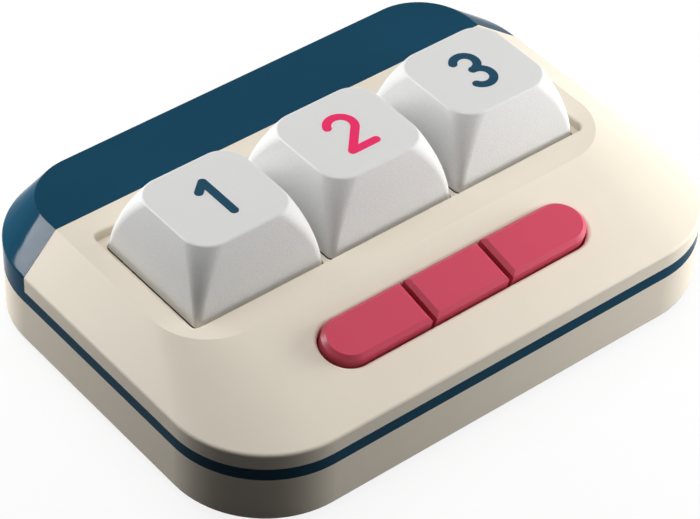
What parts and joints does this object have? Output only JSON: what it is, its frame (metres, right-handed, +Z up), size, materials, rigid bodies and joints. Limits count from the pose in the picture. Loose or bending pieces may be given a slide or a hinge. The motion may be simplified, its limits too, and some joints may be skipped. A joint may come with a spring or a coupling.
{
  "type": "programmable keypad",
  "caption": "Small desk keypad: cream case with a navy stripe and rear hood, a row of sprung keys in a well, and red push buttons sharing a pill-shaped slot in the sloping front.",
  "frame": {"origin": "on the resting surface, under the middle of the four feet and of the case outline", "axes": "+X to the right along the row of keys, +Y to the rear, +Z up"},
  "size_m": [0.0744, 0.0544, 0.0222],
  "materials": {
    "cream_shell": "fine satin moulding",
    "navy_shell": "fine satin moulding",
    "keycap_plastic": "fine grain",
    "red_plastic": "satin",
    "foot_rubber": "matte",
    "sheet_steel": "brushed",
    "fastener_steel": "plain",
    "magnet_plating": "plated",
    "board_laminate": "lacquered",
    "slider_plastic": "smooth",
    "switch_plastic": "smooth",
    "capacitor_ceramic": "plain",
    "chip_plastic": "plain"
  },
  "bodies": {
    "case": {"bottom_case": "cream_shell", "capacitors": "capacitor_ceramic", "case_screws": "fastener_steel", "crystal": "sheet_steel", "hall_sensors": "chip_plastic", "main_pcb": "board_laminate", "memory_chip": "chip_plastic", "microcontroller": "chip_plastic", "mid_frame": "navy_shell", "pcb_screws": "fastener_steel", "plate_screws": "fastener_steel", "rubber_feet": "foot_rubber", "switch_base_centre": "switch_plastic", "switch_base_left": "switch_plastic", "switch_base_right": "switch_plastic", "switch_plate": "sheet_steel", "switch_spring_centre": "fastener_steel", "switch_spring_left": "fastener_steel", "switch_spring_right": "fastener_steel", "switch_top_centre": "switch_plastic", "switch_top_left": "switch_plastic", "switch_top_right": "switch_plastic", "tact_body_centre": "chip_plastic", "tact_body_left": "chip_plastic", "tact_body_right": "chip_plastic", "tact_dome_centre": "sheet_steel", "tact_dome_left": "sheet_steel", "tact_dome_right": "sheet_steel", "top_cover": "cream_shell", "usb_insulator": "chip_plastic", "usb_shell": "sheet_steel", "voltage_regulator": "chip_plastic"},
    "key_left": {"keycap_left": "keycap_plastic", "switch_stem_left": "slider_plastic", "switch_magnet_left": "magnet_plating"},
    "button_left": {"macro_button_left": "red_plastic", "tact_plunger_left": "slider_plastic"},
    "key_centre": {"keycap_centre": "keycap_plastic", "switch_stem_centre": "slider_plastic", "switch_magnet_centre": "magnet_plating"},
    "button_centre": {"macro_button_centre": "red_plastic", "tact_plunger_centre": "slider_plastic"},
    "key_right": {"keycap_right": "keycap_plastic", "switch_stem_right": "slider_plastic", "switch_magnet_right": "magnet_plating"},
    "button_right": {"macro_button_right": "red_plastic", "tact_plunger_right": "slider_plastic"}
  },
  "joints": [
    {"name": "key_left_press", "type": "slide", "parent": "case", "child": "key_left", "axis": [0, 0, -1], "range_m": [0, 0.004], "stiffness_N_per_m": 60, "springref_m": -0.0058, "deforming": ["switch_spring_left"]},
    {"name": "key_centre_press", "type": "slide", "parent": "case", "child": "key_centre", "axis": [0, 0, -1], "range_m": [0, 0.004], "stiffness_N_per_m": 60, "springref_m": -0.0058, "deforming": ["switch_spring_centre"]},
    {"name": "key_right_press", "type": "slide", "parent": "case", "child": "key_right", "axis": [0, 0, -1], "range_m": [0, 0.004], "stiffness_N_per_m": 60, "springref_m": -0.0058, "deforming": ["switch_spring_right"]},
    {"name": "button_left_press", "type": "slide", "parent": "case", "child": "button_left", "axis": [0, 0, -1], "range_m": [0, 0.0003], "stiffness_N_per_m": 400, "springref_m": -0.0015, "deforming": ["tact_dome_left"]},
    {"name": "button_centre_press", "type": "slide", "parent": "case", "child": "button_centre", "axis": [0, 0, -1], "range_m": [0, 0.0003], "stiffness_N_per_m": 400, "springref_m": -0.0015, "deforming": ["tact_dome_centre"]},
    {"name": "button_right_press", "type": "slide", "parent": "case", "child": "button_right", "axis": [0, 0, -1], "range_m": [0, 0.0003], "stiffness_N_per_m": 400, "springref_m": -0.0015, "deforming": ["tact_dome_right"]}
  ]
}
